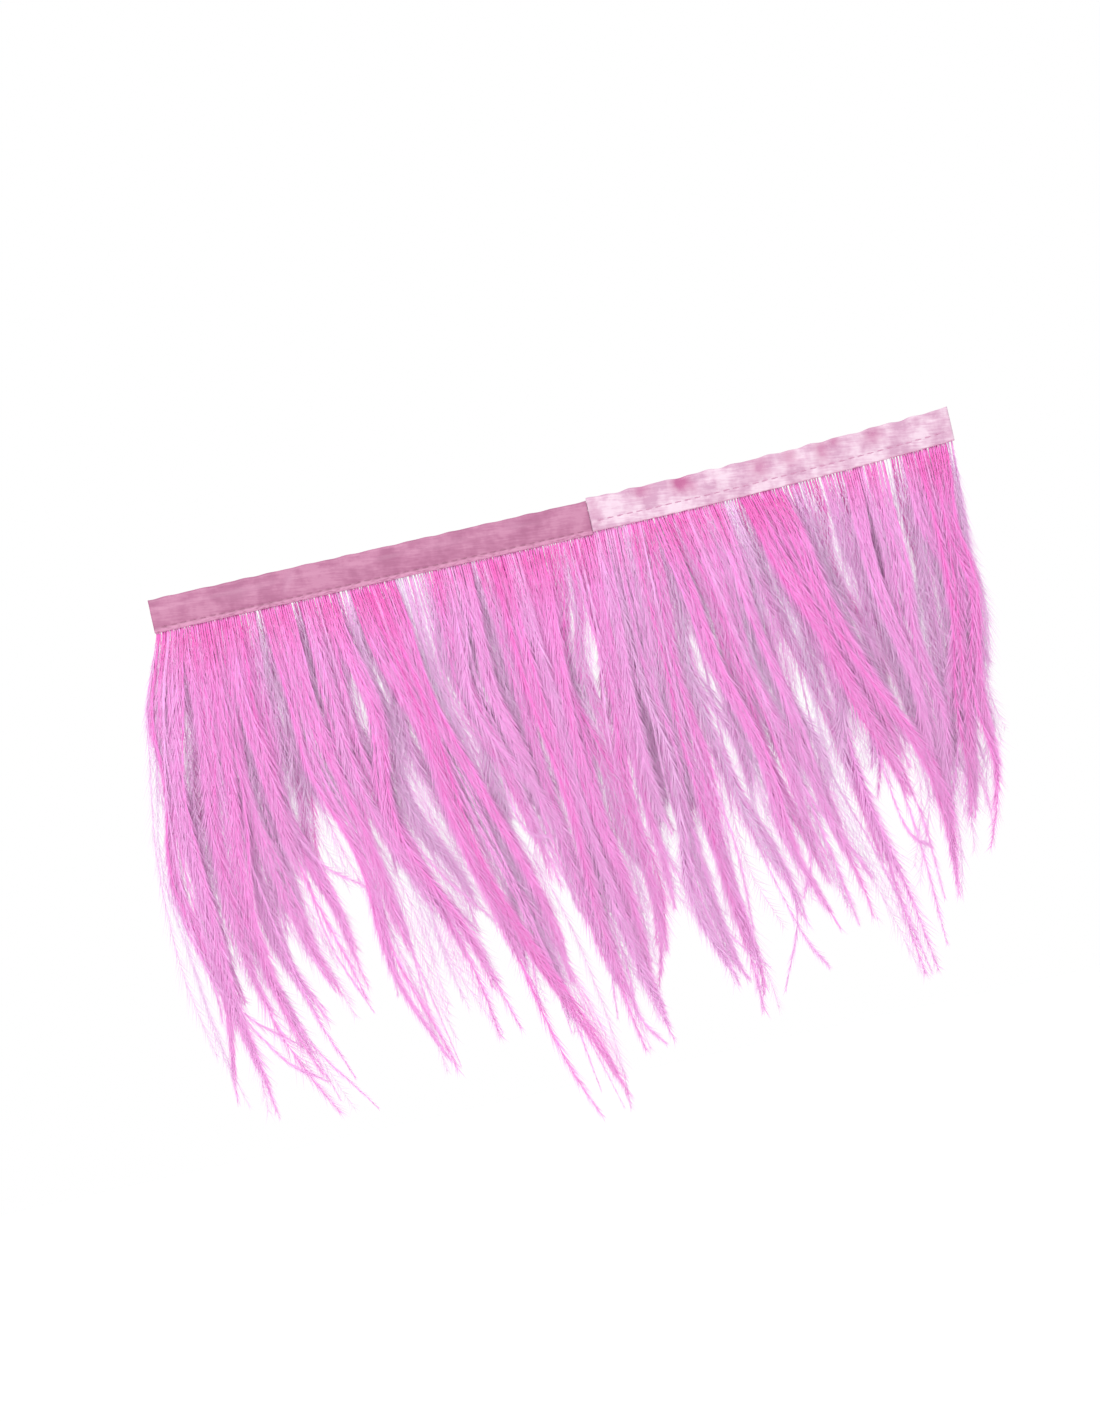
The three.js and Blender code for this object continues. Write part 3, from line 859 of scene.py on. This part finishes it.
# Strays: for a lock, the places (along the ribbon, depth below its edge) that each one passes.
STRAYS = {
    "barbs_1_front_a": [[(-137, 60), (-137, 100), (-128, 122), (-110.5, 138)],
                        [(-134, 70), (-133, 110), (-119.5, 138), (-107, 149)],
                        [(-131, 60), (-129, 118), (-124, 157)]],
    "barbs_1_front_b": [[(-118, 80), (-117, 110), (-104, 156)], [(-119, 90), (-112, 130), (-93, 161)],
                        [(-116, 70), (-108, 120), (-98, 150)]],
    "barbs_1_front_c": [[(-102, 60), (-94.5, 81), (-79.5, 94)], [(-100, 70), (-97, 105), (-88, 131)]],
    "barbs_2_front_a": [[(-87, 50), (-77, 85), (-72, 115), (-65, 154)],
                        [(-88, 60), (-79, 95), (-79.5, 128)], [(-86, 55), (-74, 95), (-71, 135)]],
    "barbs_2_front_b": [[(-71, 70), (-61, 95), (-50, 147)], [(-72, 60), (-60, 90), (-44.5, 112)]],
    "barbs_3_front_a": [[(-47, 60), (-34, 110), (-29, 151)], [(-46, 70), (-31, 125), (-24, 171)],
                        [(-45, 75), (-33, 120), (-18, 178)], [(-48, 50), (-36, 105), (-37, 140)]],
    "barbs_4_front_a": [[(-33, 60), (-29.5, 85), (-18, 91)], [(-33, 40), (-26, 80), (-17, 118)]],
    "barbs_4_front_b": [[(-15, 75), (-8, 130), (-7.5, 150), (-1, 161)],
                        [(-16, 70), (-12, 115), (-14, 150)], [(-14, 80), (-6, 128), (1, 149)]],
    "barbs_4_front_c": [[(-5, 70), (-4.5, 120), (-1, 151)]],
    "barbs_5_front_a": [[(3, 60), (3, 90), (6, 131)], [(8, 60), (10.5, 95), (20.5, 130), (29, 147)]],
    "barbs_5_front_b": [[(17, 60), (17.5, 95), (24, 128), (36, 145)]],
    "barbs_5_front_c": [[(26, 60), (25.5, 100), (32.5, 128), (30.5, 158)],
                        [(27, 60), (33.5, 102), (33.5, 132)]],
    "barbs_5_back_f": [[(38, 85), (45.5, 108), (48, 130), (39, 153)],
                       [(38, 90), (47, 133), (54, 149)]],
    "barbs_5_front_d": [[(56, 80), (62, 112), (66, 138)], [(54, 80), (56, 112), (51, 126)],
                        [(58, 90), (67, 110), (73, 124)]],
    "barbs_6_back_d": [[(66, 80), (75.5, 115), (80.5, 135), (85, 158)]],
    "barbs_6_front_a": [[(84, 80), (92, 105), (94, 136)], [(82, 75), (86.5, 110), (93, 119)],
                        [(85, 75), (90, 115), (91.5, 150)]],
    "barbs_7_front_a": [[(115, 60), (107, 95), (99, 112)]],
}


# ---------- stage ----------
CAMERA_ROLL = 12.77  # degrees the ribbon rises to the right
FRAME_HEIGHT = 444.4  # what the picture, taller than it is wide, shows at the object
FRAME_SHIFT = (-6.3, 0.0, 30.9)  # from the CAD box's centre to the middle of the picture
LENS = 150.0
SENSOR = 36.0
FLOOR_HALF = 4000.0
FLOOR_DROP = 240.0  # below the longest lock
LIGHTS_AIM = (-10.0, 0.0, -70.0)
LIGHTS = (
    ("sun", "SUN", (-1.2, -1.6, 2.0), 0.5, {"angle": math.radians(25)}),
    ("key", "AREA", (-0.35, -0.95, 0.45), 3.8, {"shape": "DISK", "size": 0.6}),
)


def add_camera():
    """A long lens square to the ribbon's front, rolled so that the ribbon rises to the right."""
    data = bpy.data.cameras.new("camera")
    data.lens, data.sensor_width = LENS, SENSOR
    camera = bpy.data.objects.new("camera", data)
    scene.collection.objects.link(camera)
    tilt = math.radians(CAMERA_ROLL)
    right = Vector((math.cos(tilt), 0, -math.sin(tilt)))
    up = Vector((math.sin(tilt), 0, math.cos(tilt)))
    back = Vector((0, -1, 0))
    target = (Vector(cad_box[0]) + Vector(cad_box[1])) / 2 + Vector(FRAME_SHIFT) * MM
    distance = FRAME_HEIGHT * MM * LENS / SENSOR
    turn = Matrix((right, up, back)).transposed()
    camera.matrix_world = Matrix.Translation(target + back * distance) @ turn.to_4x4()
    data.clip_start, data.clip_end = 0.01, 50
    scene.camera = camera


def add_light(name, kind, place, aim, energy, **settings):
    data = bpy.data.lights.new(name, kind)
    data.energy = energy
    for key, value in settings.items():
        setattr(data, key, value)
    lamp = bpy.data.objects.new(name, data)
    scene.collection.objects.link(lamp)
    lamp.location = place
    lamp.rotation_mode = "QUATERNION"
    lamp.rotation_quaternion = (Vector(aim) - Vector(place)).to_track_quat("-Z", "Y")


def add_floor():
    half = FLOOR_HALF
    corners = np.array([[-half, -half, 0], [half, -half, 0], [half, half, 0], [-half, half, 0]])
    corners[:, 2] = cad_box[0][2] / MM - FLOOR_DROP
    floor = mesh_object("floor", corners, np.array([[0, 1, 2, 3]]), shade_smooth=False)
    material, _, shader = new_material("floor")
    shader.inputs["Base Color"].default_value = (0.93, 0.93, 0.93, 1)
    shader.inputs["Roughness"].default_value = 0.9
    floor.data.materials.append(material)


def add_stage():
    world = bpy.data.worlds.new("studio")
    world.use_nodes = True
    background = world.node_tree.nodes["Background"]
    background.inputs["Color"].default_value = (1, 1, 1, 1)
    background.inputs["Strength"].default_value = 1.0
    scene.world = world
    add_floor()
    aim = Vector(LIGHTS_AIM) * MM
    for name, kind, place, energy, settings in LIGHTS:
        add_light(name, kind, place, aim, energy, **settings)


# ---------- everything ----------
def build_ribbon():
    """Both tapes and their four rows of stitches."""
    # The two tapes are pieces of one satin. The left tape's darker colours are painted shade, and the
    # right tape's lighter colours are painted sheen, for how each piece turns its sheen to the light.
    shaded_satin = satin("satin_dusty", (160, 92, 128), (171, 104, 139), (183, 120, 152), roughness=0.42,
                  weave=0.5, streak=0.45, dent_shading=(190, 134, 164), lip=(202, 136, 172))
    sheened_satin = satin("satin_pale", (192, 146, 174), (207, 170, 192), (220, 195, 210), roughness=0.3,
                 weave=0.9, streak=0.45, dent_shading=(176, 92, 138), lip=(196, 126, 162))
    build_tape("left", shaded_satin)
    build_tape("right", sheened_satin)
    grain = (0.0011, 0.0002, 0.0002)
    thread = {
        "left": grained("thread_dusty", (150, 90, 120), (170, 108, 138), grain, 0.5, 0.00005),
        "right": grained("thread_pale", (186, 124, 158), (204, 150, 180), grain, 0.5, 0.00005),
    }
    random = np.random.default_rng(STITCH_SEED)
    for side in ("left", "right"):
        for spool, face in (("needle", -1), ("bobbin", 1)):
            build_stitches(side, spool, face, thread[side], random)


def dress_quills():
    """The quills are the CAD's own pieces, with a material that has a grain."""
    quill = grained("quill", (206, 108, 162), (228, 148, 192), (0.017, 0.00025, 0.0004), 0.42, 0.00004)
    for name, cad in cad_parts.items():
        if name.startswith("quill"):
            cad.data.materials.clear()
            cad.data.materials.append(quill)


def build_locks():
    material = barb_material()
    names = sorted(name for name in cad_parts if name.startswith("barbs"))
    for number, name in enumerate(names):
        look = FRONT_LOOK if "front" in name else BACK_LOOK
        look = {**look, "shade": SHADES.get(name, look["shade"])}
        build_lock(name, look, material, np.random.default_rng(LOCK_SEED + number))


scene.view_settings.view_transform = "Standard"
add_camera()
build_ribbon()
dress_quills()
build_locks()
add_stage()
